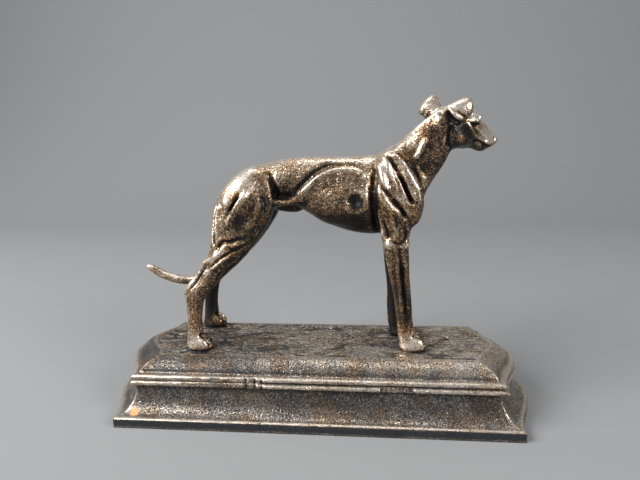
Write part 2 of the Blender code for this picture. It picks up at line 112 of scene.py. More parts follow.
FLANK_RIDGES = [
    (1.0, 0.8, [(25.4, 75.9), (26.1, 72.8), (27.0, 69.5), (28.2, 66.4), (29.4, 64.3)]),
    (1.2, 0.5, [(26.8, 77.7), (28.6, 75.1), (30.1, 70.8), (31.8, 66.6), (34.0, 62.6), (36.0, 59.5)]),
    (0.6, 0.6, [(30.2, 73.4), (31.7, 70.2), (33.3, 66.9), (34.7, 63.9), (36.6, 60.1)]),
    (1.3, 0.7, [(24.6, 67.4), (26.2, 63.4), (28.7, 60.0), (31.0, 57.2), (33.6, 54.6)]),
    (0.6, 0.5, [(31.6, 58.6), (33.0, 57.0), (34.6, 54.6), (36.3, 52.0)]),
    (0.7, 0.8, [(24.9, 58.9), (25.6, 55.7), (26.4, 52.0), (27.2, 49.2), (28.0, 46.7)]),
    (1.0, 0.5, [(28.6, 59.5), (30.3, 54.6), (31.7, 50.4), (32.5, 45.9)]),
    (1.2, 0.7, [(29.9, 78.4), (31.9, 77.2), (33.9, 75.0), (36.3, 71.4), (38.4, 67.6), (39.6, 64.3)]),
    (0.6, 0.6, [(39.4, 66.9), (40.2, 63.5), (40.9, 60.5), (40.8, 58.2)]),
    (0.8, 0.7, [(40.8, 69.9), (42.3, 69.2), (43.5, 68.2)]),
    (0.8, 0.6, [(38.4, 75.6), (40.6, 78.5), (42.1, 81.5), (43.3, 84.4)]),
    (1.0, 0.6, [(-7.1, 61.4), (-2.0, 66.2), (3.0, 70.3), (8.8, 72.5), (15.5, 72.6), (20.2, 71.0)]),
    (0.8, 0.4, [(20.2, 70.8), (22.2, 69.0), (22.8, 65.4)]),
    (0.7, 0.5, [(-14.7, 58.9), (-11.6, 60.4), (-8.9, 60.9), (-7.1, 61.4)]),
    (1.0, 0.8, [(-23.8, 66.1), (-27.2, 61.5), (-29.9, 57.6), (-31.7, 54.5), (-32.9, 50.9)]),
    (0.8, 0.5, [(-35.2, 61.6), (-36.2, 58.2), (-36.8, 54.5), (-37.0, 50.5), (-36.4, 46.8)]),
    (1.2, 0.5, [(-20.2, 61.0), (-20.8, 57.5), (-23.0, 53.6), (-25.6, 50.4)]),
    (1.1, 0.8, [(-46.5, 34.3), (-42.7, 37.2), (-39.7, 39.2), (-37.1, 40.9), (-34.1, 42.9), (-32.0, 44.1)]),
    (0.6, 0.6, [(-32.0, 44.1), (-29.5, 44.9), (-26.6, 46.0), (-24.1, 47.6)]),
    (0.6, 0.5, [(-43.6, 32.2), (-38.4, 36.4), (-33.4, 39.8), (-29.0, 42.2)]),
    (0.6, 0.6, [(32.4, 38.0), (33.2, 30.0), (34.1, 21.0), (35.2, 12.0)]),
    (0.5, 0.5, [(35.8, 38.0), (36.4, 30.0), (37.3, 21.0)]),
]
# Rounded places on both flanks: x, z, radius and height, in hundredths.
FLANK_SWELLS = [
    (-28.1, 53.8, 3.3, -1.0),
    (-26.6, 68.2, 3.0, 0.6),
    (-32.6, 61.2, 1.8, 0.8),
    (29.3, 44.3, 1.4, 0.8),
    (36.6, 44.0, 1.2, 0.7),
    (33.2, 80.0, 1.2, 0.7),
    (27.6, 76.4, 1.0, 0.5),
    (31.2, 77.6, 1.0, 0.5),
]
# The hollow in the right flank and the rim round it, in hundredths.
DIMPLE_PLACE = (17.0, 60.8)
DIMPLE_WIDTH = 2.7
DIMPLE_DEPTH = 0.9
DIMPLE_RIM = 3.9
DIMPLE_RIM_WIDTH = 0.8
DIMPLE_RIM_HEIGHT = 0.25
# How much more or less paint the brush left, with painted light and shade: lighter on the hip, shoulder and
# chest, darker on the belly, foreleg shafts, flank hollow and nape. x, z, radius and amount, on both flanks.
FLANK_RUBS_AND_LIGHTING = [
    (-25.5, 68.5, 4.6, 0.65),
    (-34.0, 61.5, 3.5, 0.30),
    (-35.6, 54.0, 3.2, 0.32),
    (-26.8, 55.5, 3.4, -0.45),
    (-30.5, 63.0, 1.8, -0.45),
    (-23.0, 66.0, 2.0, 0.30),
    (-19.4, 60.0, 3.6, -0.25),
    (-36.5, 41.5, 3.2, 0.40),
    (-42.5, 35.5, 3.0, 0.45),
    (-48.5, 28.5, 3.0, 0.50),
    (-12.0, 62.4, 4.0, -0.55),
    (-2.6, 65.4, 2.4, 0.40),
    (3.4, 70.0, 2.0, 0.25),
    (23.2, 68.6, 2.2, 0.25),
    (10.0, 54.0, 5.5, -0.25),
    (20.0, 54.0, 6.0, -0.35),
    (29.0, 71.0, 4.5, 0.75),
    (33.6, 62.0, 4.0, 0.65),
    (41.0, 67.0, 3.4, 0.80),
    (39.5, 81.5, 3.0, 0.30),
    (43.5, 72.5, 3.0, -0.35),
    (44.5, 87.0, 2.8, -0.50),
    (29.4, 44.4, 1.8, 0.60),
    (36.3, 43.6, 1.6, 0.60),
    (33.4, 35.0, 5.0, -0.40),
    (34.6, 25.5, 5.5, -0.75),
    (36.0, 15.0, 4.5, -0.75),
    (39.0, 3.0, 4.6, 0.90),
    (-48.0, 3.0, 4.6, 0.70),
]
DIMPLE_RUB = -0.75
DIMPLE_RIM_RUB = 0.30
DIMPLE_RIM_GLEAM = 0.9  # breadth of the rim's bright ring, in hundredths
# The same on the head, in the head's own axes, with painted light on the muzzle's side and painted shade on
# the face below the ear and under the jaw.
FACE_RUBS_AND_LIGHTING = [
    (-3.5, 7.0, 3.6, 0.60),
    (-6.0, 6.0, 1.6, 0.40),
    (-4.4, 3.4, 1.4, 0.40),
    (7.6, 2.0, 2.6, 0.75),
    (10.0, 4.0, 2.2, 0.45),
    (-0.5, -1.2, 2.6, -0.60),
    (3.6, -1.4, 2.8, -0.60),
    (-1.0, -6.8, 2.2, -0.60),
    (4.5, -7.2, 2.8, -0.55),
    (1.4, -4.3, 1.8, 0.45),
    (11.0, -9.0, 2.6, -0.60),
    (18.0, -9.8, 2.8, -0.60),
    (14.5, -3.4, 4.4, 1.20),
    (20.5, -5.0, 3.8, 1.20),
    (24.5, -6.0, 2.4, 0.40),
]
LIFT_RUB = 0.15  # drawn crests catch the brush and drawn lines miss it
LIFT_RUB_LIMIT = 1.2  # past this height, in hundredths, a crest catches no more
# painted highlight: the back's upward faces are painted lighter
BACK_HIGHLIGHT = 0.18
BACK_LOW = 66  # the back lies above this, in hundredths
PAINTED_LIGHT_FROM = (-0.38, 0.0, 0.22)  # painted light: faces turned to the tail's side and upwards are painted lighter
# painted shade: the legs' inner faces are painted darker
INNER_LEG_SHADE = -1.1
INNER_LEG_TOP = 50  # the legs' inner faces lie below this, in hundredths
INNER_LEG_FADE = 6

# How the drawn lines are cut and the surface is smoothed and grained.
FORM_STRENGTH = 1.2  # of the flanks' lines and swells
SPLINE_STEPS = 6
STROKE_TAPER = 6  # a line is at its full depth past a sixth of its length
GROOVE_BANK = 0.3  # height of the banks beside a groove, as a share of its depth
BANK_AWAY = 2.1  # how far off the banks stand, in widths of the groove
OUTWARD = 2.2  # how soon a line reaches its full depth as the surface turns outward
# Where along the tail it thickens and over what length, in hundredths, and by how much.
TAIL_SWELLS = [(-53.0, 4), (-64.0, 5)]
TAIL_SWELL = 0.38
NAPE_CREST = (0.55, 0.7, [(34.2, 83.6), (38.7, 86.7), (45.9, 91.8), (49.6, 94.2)])
SMOOTHING = (0.5, -0.52)  # a step in and a step out, so the form doesn't shrink
SMOOTHING_ROUNDS = 5
NORMAL_ROUNDS = 6
SOLE_TOP = 0.3  # below this, in hundredths, the soles are drawn down to the leaves
SOLE_DROP = 0.22
# The coarser lumps of the grain, in sizes of the fine ones, and their share.
FIGURE_COARSE_GRAIN = (2.6, 0.7)
PLINTH_COARSE_GRAIN = (3, 0.8)
PLINTH_GRAIN_HEIGHT = 0.3  # as a share of the figure's
NOISE_FALL = 0.9
NOISE_STEP = 2.1
NOISE_OCTAVES = 2

# The head's own axes start at the poll: x to the nose, y to the left ear, z up, in hundredths.
POLL = (51.8, 1.4, 88.0)
HEAD_TURN = 33.0
HEAD_ROLL = 6.0
HEAD_BACK = -9
HEAD_BELOW = -11
NECK_LOW = 72  # the head lies above this, from the soles
FACE_GROOVES = [
    (0.50, -1.4, [(9.4, -5.4), (12.4, -5.5), (14.7, -5.9), (16.7, -6.9), (18.7, -7.7), (21.5, -8.2)]),
    (0.50, -1.0, [(8.9, -1.4), (11.0, -2.8), (13.5, -4.1), (16.0, -5.2), (18.5, -6.0)]),
    (0.60, -1.3, [(7.0, 1.0), (8.4, 0.8), (10.9, 0.4), (12.2, 0.0)]),
    (0.70, -1.3, [(-2.6, 0.8), (-2.8, -0.8), (-3.2, -3.3), (-3.1, -5.8), (-2.2, -8.1)]),
    (0.90, -1.2, [(-6.3, 6.2), (-3.6, 3.9), (-0.3, 1.9), (2.2, 1.7)]),
]
FACE_RIDGES = [
    (0.9, 1.2, [(4.6, 2), (6.2, -0.3), (7.9, -2.2), (11.1, -3.9), (14.5, -5.2), (18.5, -6.9), (21.5, -7.2)]),
    (0.6, 0.9, [(9.1, 0.0), (12.6, -2.0), (16.5, -4.0), (19.6, -5.2)]),
    (0.6, 0.7, [(4.9, 2.4), (7.6, 2.1), (10.6, 2.0)]),
    (0.5, 0.8, [(10.1, -6.6), (12.5, -6.6), (14.8, -7.1), (16.8, -8.0)]),
]
FACE_SWELLS = [(10.2, 3.3, 1.1, 0.8), (8.6, 4.9, 0.8, 0.6), (1.4, -4.4, 2.2, 0.5)]
# Along the top of the muzzle: a ridge down the middle with a furrow on both sides.
BRIDGE_SPAN = (11.5, 23.0)
BRIDGE_FADE = 1.5
BRIDGE_WIDTH = 0.6
BRIDGE_HEIGHT = 0.5
FURROW_AWAY = 1.5
FURROW_WIDTH = 0.45
FURROW_DEPTH = 0.8
NOSTRIL = (23.4, -5.4, 0.6, -0.9)
SKULL_HALF_WIDTH = 5.8
EAR_LOW = 1.0
EAR_STROKES = [
    (0.5, -0.8, [(-6.4, 8.2), (-5.3, 6.6), (-3.2, 4.9), (-1.1, 3.8)]),
    (0.9, 0.5, [(-6.8, 6.6), (-5.6, 4.9), (-4.1, 3.4), (-2.4, 2.7)]),
]
# Forms added to the head before it is fused: centre, radii and tilt.
HEAD_LUMPS = [
    ((-6.0, 6.0, 7.0), (4.4, 2.2, 2.1), -49),
    ((-5.6, 4.8, 4.4), (2.8, 2.6, 2.4), 0),
]
# Places pulled in the head's axes: centre, radius and shift.
HEAD_GRABS = [
    ((3.6, -2.0, -8.4), 3.2, (-3.2, 0.0, -0.4)),
    ((1.0, -1.5, -10.5), 2.6, (-1.6, 0.0, 0.0)),
    ((18.0, 0.0, -8.6), 3.6, (0.0, 0.0, -1.3)),
    ((0.0, 7.2, 8.6), 2.2, (-1.7, 0.0, 0.2)),
    ((-2.4, 7.0, 10.6), 1.8, (-0.9, 0.0, 0.5)),
    ((1.2, -10.0, 3.0), 1.6, (-0.3, 0.0, 0.4)),
    ((1.8, -1.0, -7.6), 3.2, (-0.9, 0.0, -1.2)),
    ((8.0, 0.0, -7.6), 3.0, (0.0, 0.0, -0.9)),
]

# Paws, in hundredths: where each pad is (x, y), the gap between toes and the furrows between them.
PAWS = [(39.2, -7.6), (35.8, 6.8), (-48.7, -10.4), (-49.3, 13.2)]
PAW_TOP = 6.5
TOE_GAP = 1.75
TOE_FAN = (0.8, 1.1)  # the gap grows from root to tip
TOE_ROOT = 0.4
TOE_REACH = 6.4
TOE_FURROW = 0.5
TOE_DEPTH = 2.6

# The paint's masks.
RIDGE_SCALE = 0.00016
RIDGE_ROUNDS = ((3, 0.25), (12, 0.45), (45, 0.45))  # smoothing rounds and their share
RIDGE_TYPICAL = 12
GROOVE_LIMIT = -0.55  # past this a groove gets no blacker
SKY_RAYS = 20
SKY_REACH = 0.06
SKY_CLEAR = 0.0006

# The plinth's mouldings, as inset from the lip's face and height.
LIP_HEIGHT = 0.0048
FILLET = 0.0009
COVE_INSET = 0.0094
COVE_HEIGHT = 0.0140
BEAD_HEIGHT = 0.0030
BEAD_PROUD = 0.0027
SHOULDER_INSET = 0.0078
SHOULDER_BULGE = 0.45  # from 0, a flat slope, to 1, a quarter of an ellipse
END_BOW = 0.0108
WALL = 0.0045
LIP_ROUND = 0.0003
COVE_TOP = LIP_HEIGHT + COVE_HEIGHT
STEP_INSET = COVE_INSET + 2 * FILLET
SHOULDER_BASE = COVE_TOP + 2 * BEAD_HEIGHT + FILLET
GROUND_INSET = STEP_INSET + SHOULDER_INSET
SHOULDER_STEPS = 16
BEAD_STEPS = 9
COVE_STEPS = 22
LIP_STEPS = 7
HOLLOW_STEPS = 6
GROUND_SHARE = (0.985, 0.965)  # how much of the ground's length and width has leaves

# Where the beads on the front were badly cast.
BEAD_FADE = 0.0004
BLUR_END = -0.0245  # left of this the beads run into a band
BLUR_FADE = 0.006
BLUR_LEAST = 0.45
BLUR_MORE = 0.4
BLUR_MORE_START = -0.075
BLUR_MORE_FADE = 0.03
BLUR_LUMP = (0.0045, 0.0012)  # length and height of the band's lumps
BLUR_LUMP_HEIGHT = 0.0005
BAND_PROUD = 0.55 * BEAD_PROUD
# Notches across the beads: place along the plinth and breadth.
BEAD_NOTCHES = [(-0.0335, 0.0009), (-0.0290, 0.0011), (-0.0255, 0.0008)]
NOTCH_DEPTH = 0.0011
FLAT_START = 0.0329  # a worn flat on the lower bead
FLAT_END = 0.0497
FLAT_FADE = 0.0006
LOWER_FADE = 0.0003
FLAT_PROUD = 0.35 * BEAD_PROUD

# The leaves on the ground.
LEAF_SEED = 11
LEAF_TURN = 24  # typical degrees off the plinth's length
LEAF_HALF_LENGTH = (0.0050, 0.0090)
LEAF_HALF_BREADTH = (0.0018, 0.0032)
LEAF_BEND = 0.12
LEAF_LINE = 0.0004
LEAF_RUB = 0.8  # the leaves' edges catch the brush

# How much more or less paint the brush left on each moulding, with painted shade in the cove and painted
# light towards the dog's front end, and the bare rusty spot.
LIP_RUB = -1.10
FOOT_EDGE = 0.0008
FOOT_EDGE_RUB = 0.75
COVE_RUB = 0.14
COVE_SHADE_UPWARD = 0.10  # painted shade, darker from the foot of the cove up towards the beads
BEAD_RUB = 0.10
# In the middle of the length, and how much more at the dog's front end, which is painted light.
SHOULDER_RUB_AND_LIGHT = (-0.38, 0.40)
GROUND_RUB_AND_LIGHT = (-0.10, 0.20)
RUST_PLACE = (-0.0905, -0.0352, 0.0062)
RUST_RADIUS = 0.0024

# The paint.
MASK_RANGE = (-0.24, 0.26)
GLINT_RANGE = (0.46, 0.92)
PATCH_SHARE = 0.9
LUMP_SHARES = (0.7, 0.6)
SPECKLE_SHARES = (0.75, 0.35)
COARSE_SCALE = 0.42
PIT_SCALE = 0.5
PIT_RANGE = (0.06, 0.36)
TINT_SCALE = 75.0
TINT_RANGE = (0.42, 0.62)
SPECULAR = 0.22
ROUGHNESS = 0.34
SPECKLE_SHINE = -0.5
PAINT_METAL = 0.75
NOISE_ROUGHNESS = 0.55
BUMP_STRENGTH = 0.6
RUST_EDGE_SCALE = 700.0
RUST_MOTTLE_SCALE = 900.0
RUST_EDGE = (1.65, 1.25)  # where the spot ends and where it is whole, in radii
RUST_PALER = 1.9

# The studio.
CAMERA_PLACE = Vector((0.0269, -0.2411, 0.1451))
CAMERA_FORWARD = Vector((-0.098, 0.9677, -0.2323))
CAMERA_RIGHT = Vector((0.9952, 0.0949, -0.0246))
CAMERA_LENS = 27.0
CAMERA_SENSOR = 36.0
CAMERA_NEAR = 0.01
LOOK_AT = Vector((0.0, 0.0, 0.07))
# Each light's name, place, size and the setting that holds its power.
LIGHTS = [
    ("key", (-0.85, -0.45, 0.75), 0.70, "key_power"),
    ("right", (1.05, -0.6, 0.65), 0.6, "right_power"),
    ("top", (0.0, 0.1, 1.3), 0.6, "top_power"),
]
ROOM_COLOUR = (0.62, 0.66, 0.70)
SWEEP_START = 0.45
SWEEP_RADIUS = 0.5
SWEEP_STEPS = 16
FLOOR_REACH = 4.0
FLOOR_ROUGHNESS = 0.85


def number(name, description, default, unit="NONE"):
    return FloatProperty(name=name, description=description, default=default, unit=unit)


def colour(name, description, default):
    return FloatVectorProperty(name=name, description=description, subtype="COLOR", default=default)


class CastingSettings(bpy.types.PropertyGroup):
    """Sizes of the casting's surface."""

    voxel: number("Figure mesh", "Spacing of the figure's mesh", 0.00060, "LENGTH")
    grain_height: number("Grain height", "How far the sand-cast grain stands proud", 0.00007, "LENGTH")
    grain_size: number("Grain size", "Width of one lump of the grain", 0.0013, "LENGTH")
    ground_relief: number("Ground relief", "Height of the leaves on top of the plinth", 0.0006, "LENGTH")
    leaves: IntProperty(name="Leaves", description="Leaves on top of the plinth", default=300, min=0)
    columns: IntProperty(
        name="Columns", description="Steps along the plinth's long side", default=290, min=20
    )
    rows: IntProperty(name="Rows", description="Steps across the plinth", default=92, min=10)


class FinishSettings(bpy.types.PropertyGroup):
    """Colours of the paint and the metal."""

    black: colour("Black", "Paint left in the hollows", (0.009, 0.0075, 0.007))
    bronze: colour("Bronze", "Rubbed bronze paint", (0.265, 0.172, 0.098))
    ochre: colour("Ochre", "Warmer bronze, in patches", (0.315, 0.175, 0.075))
    # painted reflection: the plinth's black is lifted to a bluish grey for the sky's sheen
    slate_and_sheen: colour("Slate", "Satin black of the plinth", (0.024, 0.026, 0.030))
    pewter: colour("Pewter", "Rubbed paint on the plinth", (0.33, 0.285, 0.24))
    silver: colour("Silver", "Paint on the highest places", (0.74, 0.65, 0.55))
    rust: colour("Rust", "The bare spot on the plinth", (0.55, 0.25, 0.11))
    floor: colour("Floor", "The studio floor", (0.27, 0.273, 0.276))


class StudioSettings(bpy.types.PropertyGroup):
    """The lights and the picture's brightness."""

    key_power: number("Key light", "Power of the light from the left", 38.0, "POWER")
    right_power: number("Right light", "Power of the light at the right", 22.0, "POWER")
    top_power: number("Top light", "Power of the light above", 8.0, "POWER")
    sky: number("Room light", "Strength of the light all round", 0.06)
    exposure: number("Exposure", "Brightness of the picture, in stops", -0.8)


def object_from(mesh, name):
    made = bpy.data.objects.new(name, mesh)
    bpy.context.scene.collection.objects.link(made)
    return made


def evaluated_mesh(piece, name):
    """The piece's mesh with its modifiers applied. The piece itself is removed."""
    graph = bpy.context.evaluated_depsgraph_get()
    mesh = bpy.data.meshes.new_from_object(piece.evaluated_get(graph))
    mesh.name = name
    bpy.data.objects.remove(piece)
    return mesh


def read_points(mesh):
    flat = np.empty(len(mesh.vertices) * 3)
    mesh.vertices.foreach_get("co", flat)
    return flat.reshape(-1, 3)


def write_points(mesh, points):
    mesh.vertices.foreach_set("co", points.ravel())
    mesh.update()


def read_normals(mesh):
    flat = np.empty(len(mesh.vertices) * 3)
    mesh.vertex_normals.foreach_get("vector", flat)
    return flat.reshape(-1, 3)


def read_edges(mesh):
    flat = np.empty(len(mesh.edges) * 2, np.int64)
    mesh.edges.foreach_get("vertices", flat)
    return flat.reshape(-1, 2)


def write_mask(mesh, name, values):
    layer = mesh.attributes.new(name, "FLOAT", "POINT")
    layer.data.foreach_set("value", values.astype(np.float32))


def relax(values, edges, rounds, share=0.5):
    """Moves each vertex's value towards its neighbours' mean, some rounds over."""
    ends = np.concatenate([edges[:, 0], edges[:, 1]])
    others = np.concatenate([edges[:, 1], edges[:, 0]])
    count = np.bincount(ends, minlength=len(values))
    columns = values.reshape(len(values), -1)
    for _ in range(rounds):
        total = [np.bincount(ends, column[others], len(values)) for column in columns.T]
        columns = columns + share * (np.transpose(total / count) - columns)
    return columns.reshape(values.shape)


def spline(rows):
    """Points of a Catmull-Rom curve through the rows."""
    rows = np.array(rows, float)
    knots = np.vstack([2 * rows[0] - rows[1], rows, 2 * rows[-1] - rows[-2]])
    points = []
    for i in range(1, len(knots) - 2):
        a, b, c, d = knots[i - 1 : i + 3]
        for t in np.arange(SPLINE_STEPS) / SPLINE_STEPS:
            bend = 2 * a - 5 * b + 4 * c - d + t * (3 * (b - c) + d - a)
            points.append(b + 0.5 * t * (c - a + t * bend))
    return np.array([*points, knots[-2]])


def away_from(points, path):
    """How far each point is from a path in the plane, and where along it from 0 to 1."""
    nearest = np.full(len(points), np.inf)
    place = np.zeros(len(points))
    for i, (start, end) in enumerate(zip(path, path[1:])):
        span = end - start
        share = np.clip((points - start) @ span / (span @ span), 0, 1)
        away = np.linalg.norm(points - start - share[:, None] * span, axis=1)
        place = np.where(away < nearest, (i + share) / (len(path) - 1), place)
        nearest = np.minimum(away, nearest)
    return nearest, place


def bell(away, width):
    return np.exp(-((away / width) ** 2))


def fade(past, length):
    """0 before a place and 1 this length past it."""
    return np.clip(past / length, 0, 1)


def stroke_lift(flat, strokes, bank=0.0):
    """The lift of drawn lines. A groove with a bank throws up a low ridge on both sides."""
    lift = np.zeros(len(flat))
    for width, height, path in strokes:
        away, place = away_from(flat, spline(path))
        taper = np.clip(STROKE_TAPER * np.minimum(place, 1 - place), 0.1, 1)
        lift += height * taper * (bell(away, width) - bank * bell(away - BANK_AWAY * width, width))
    return lift


def swell_lift(flat, swells):
    """The sum of rounded places: x, z, radius and height or amount."""
    lift = np.zeros(len(flat))
    for x, z, radius, height in swells:
        lift += height * bell(np.linalg.norm(flat - (x, z), axis=1), radius)
    return lift


def grabbed(points, grabs):
    """Points pulled along with each grabbed place, less and less away from it."""
    for centre, radius, shift in grabs:
        weight = bell(np.linalg.norm(points - centre, axis=1), radius)
        points = points + weight[:, None] * np.array(shift)
    return points


def noise_lift(points, size):
    """Smooth noise from about -1 to 1, with lumps of this size, at each point."""
    scaled = points / size
    return np.array([noise.fractal(Vector(p), NOISE_FALL, NOISE_STEP, NOISE_OCTAVES) for p in scaled])


def grain_lift(points, size, coarser, share):
    """Sand-cast grain: fine lumps over a share of coarser ones."""
    return noise_lift(points, size) + share * noise_lift(points, coarser * size)


def head_matrix():
    turn = Matrix.Rotation(math.radians(HEAD_TURN), 4, "Z")
    roll = Matrix.Rotation(math.radians(HEAD_ROLL), 4, "X")
    return np.array(Matrix.Translation(POLL) @ turn @ roll)


def facing_out(points, normals, sharpness=OUTWARD):
    """1 where the surface faces away from the dog's middle plane, and 0 where it faces it."""
    return np.clip(sharpness * normals[:, 1] * np.sign(points[:, 1]), 0, 1)


def flank_lift(points, normals):
    """Muscles of the flanks and legs on both sides, the nape's crest and the hollow on the right."""
    side_view = points[:, [0, 2]]
    lift = stroke_lift(side_view, FLANK_GROOVES, GROOVE_BANK) + stroke_lift(side_view, FLANK_RIDGES)
    lift = FORM_STRENGTH * (lift + swell_lift(side_view, FLANK_SWELLS))
    right = points[:, 1] < 0
    away = np.linalg.norm(side_view - DIMPLE_PLACE, axis=1)
    lift -= right * DIMPLE_DEPTH * bell(away, DIMPLE_WIDTH)
    lift += right * DIMPLE_RIM_HEIGHT * bell(away - DIMPLE_RIM, DIMPLE_RIM_WIDTH)
    crest = stroke_lift(side_view, [NAPE_CREST]) * (points[:, 1] < 5) * (normals[:, 1] < 0.3)
    return lift * facing_out(points, normals) + crest


def face_lift(points, normals):
    """Eyes, muzzle, mouth and ears, in the head's own axes."""
    side_view = points[:, [0, 2]]
    skull = np.abs(points[:, 1]) < SKULL_HALF_WIDTH
    lift = skull * (stroke_lift(side_view, FACE_GROOVES) + stroke_lift(side_view, FACE_RIDGES))
    lift += skull * swell_lift(side_view, FACE_SWELLS)
    lift += swell_lift(side_view, [NOSTRIL])
    ear = (np.abs(points[:, 1]) > SKULL_HALF_WIDTH) & (points[:, 2] > EAR_LOW)
    lift += ear * stroke_lift(side_view, EAR_STROKES)
    upward = np.clip(2 * normals[:, 2], 0, 1)
    start, end = BRIDGE_SPAN
    span = fade(points[:, 0] - start, BRIDGE_FADE) * fade(end - points[:, 0], BRIDGE_FADE)
    ridge = BRIDGE_HEIGHT * bell(points[:, 1], BRIDGE_WIDTH)
    furrows = FURROW_DEPTH * bell(np.abs(points[:, 1]) - FURROW_AWAY, FURROW_WIDTH)
    return lift * facing_out(points, normals) + (ridge - furrows) * upward * span


def paw_lift(points, normals):
    """Furrows between the toes, seen from above."""
    lift = np.zeros(len(points))
    upward = np.clip(1.6 * (normals[:, 2] + 0.6 * normals[:, 0]), 0, 1) * (points[:, 2] < PAW_TOP)
    root, tip = TOE_FAN
    for x, y in PAWS:
        for between in (-1, 0, 1):
            start = (x - TOE_ROOT, y + root * TOE_GAP * between)
            end = (x + TOE_REACH, y + tip * TOE_GAP * between)
            away, _ = away_from(points[:, :2], np.array([start, end]))
            lift -= TOE_DEPTH * bell(away, TOE_FURROW)
    return lift * upward


def sculpted(mesh):
    """Draws the fine forms on the fused figure, and leaves a mask of the brush's rubbing and of painted
    light and shade.
    """
    edges = read_edges(mesh)
    settings = bpy.context.scene.greyhound_casting
    points = (read_points(mesh) - (0, 0, DOG_LOW.z)) / UNIT
    for share in SMOOTHING * SMOOTHING_ROUNDS:
        points = relax(points, edges, 1, share)
    head = head_matrix()
    turn, poll = head[:3, :3], head[:3, 3]
    in_head = grabbed((points - poll) @ turn, HEAD_GRABS)
    points = relax(in_head @ turn.T + poll, edges, 1)
    write_points(mesh, points)
    normals = relax(read_normals(mesh), edges, NORMAL_ROUNDS)
    normals /= np.linalg.norm(normals, axis=1)[:, None]
    near_head = (in_head[:, 0] > HEAD_BACK) & (in_head[:, 2] > HEAD_BELOW) & (points[:, 2] > NECK_LOW)
    lift = np.where(near_head, face_lift(in_head, normals @ turn), 0.0)
    lift += flank_lift(points, normals) + paw_lift(points, normals)
    for start, length in TAIL_SWELLS:
        lift += TAIL_SWELL * fade(start - points[:, 0], length)
    points += normals * lift[:, None]
    points = relax(points, edges, 1)
    soles = points[:, 2] < SOLE_TOP
    points[soles, 2] -= SOLE_DROP * (1 - points[soles, 2] / SOLE_TOP)
    points = points * UNIT + (0, 0, DOG_LOW.z)
    grain = grain_lift(points, settings.grain_size, *FIGURE_COARSE_GRAIN)
    points += normals * (settings.grain_height * grain)[:, None]
    points = np.clip(points, CAD_LOW, CAD_HIGH)
    write_points(mesh, points)
    rub = figure_rub_and_lighting(points, in_head, near_head, normals)
    rub += LIFT_RUB * np.clip(lift, -LIFT_RUB_LIMIT, LIFT_RUB_LIMIT)
    write_mask(mesh, "rub", rub)
    return edges


def figure_rub_and_lighting(points, in_head, near_head, normals):
    """Where the brush pressed harder or missed, from the lists of rubbed places, with painted light and
    shade: lighter on the back and on faces turned to the tail and up, darker on the legs' inner faces.
    """
    side_view = (points[:, [0, 2]] - (0, DOG_LOW.z)) / UNIT
    rub = swell_lift(side_view, FLANK_RUBS_AND_LIGHTING)
    away = np.linalg.norm(side_view - DIMPLE_PLACE, axis=1)
    dimple_rub = DIMPLE_RUB * bell(away, DIMPLE_WIDTH)
    dimple_rub += DIMPLE_RIM_RUB * bell(away - DIMPLE_RIM, DIMPLE_RIM_GLEAM)
    rub += (points[:, 1] < 0) * dimple_rub
    # painted highlight on the back's upward faces
    rub += BACK_HIGHLIGHT * np.clip(2.5 * (normals[:, 2] - 0.6), 0, 1) * (side_view[:, 1] > BACK_LOW)
    # painted light: lighter on faces turned to the tail and upwards
    rub += normals @ np.array(PAINTED_LIGHT_FROM)
    # painted shade: darker on the legs' inner faces
    inward = facing_out(points, normals, -2)
    rub += INNER_LEG_SHADE * inward * fade(INNER_LEG_TOP - side_view[:, 1], INNER_LEG_FADE)
    return rub + near_head * swell_lift(in_head[:, [0, 2]], FACE_RUBS_AND_LIGHTING)


def ridge_mask(mesh, edges):
    """How far each point stands proud of what is round it: about 1 on a crest, below 0 in a groove."""
    points = read_points(mesh)
    normals = read_normals(mesh)
    smooth = points
    ridge = np.zeros(len(points))
    for rounds, weight in RIDGE_ROUNDS:
        smooth = relax(smooth, edges, rounds)
        proud = np.einsum("ij,ij->i", points - smooth, normals)
        ridge += weight * np.tanh(proud / (RIDGE_SCALE * math.sqrt(rounds / RIDGE_TYPICAL)))
    return relax(np.maximum(ridge, GROOVE_LIMIT), edges, 1)


def sky_directions(count):
    """Directions spread evenly over the upper half of a sphere."""
    golden = math.pi * (3 - math.sqrt(5))
    heights = (np.arange(count) + 0.5) / count
    turns = np.arange(count) * golden
    across = np.sqrt(1 - heights**2)
    return np.column_stack([across * np.cos(turns), across * np.sin(turns), heights])


def sky_shade_mask(mesh, edges, blockers):
    """How much open sky each point faces, from 0 to 1: a painted shade mask, low under things and in
    hollows.
    """
    points = read_points(mesh)
    normals = read_normals(mesh)
    starts = points + normals * SKY_CLEAR
    light = np.zeros(len(points))
    full = 0.0
    for direction in sky_directions(SKY_RAYS):
        facing = np.clip(normals @ direction, 0, 1)
        full += direction[2]
        target = Vector(direction)
        for i in np.flatnonzero(facing > 0.02):
            if blockers.ray_cast(starts[i], target, SKY_REACH)[0] is None:
                light[i] += facing[i]
    return np.clip(relax(light / full, edges, 3), 0, 1)


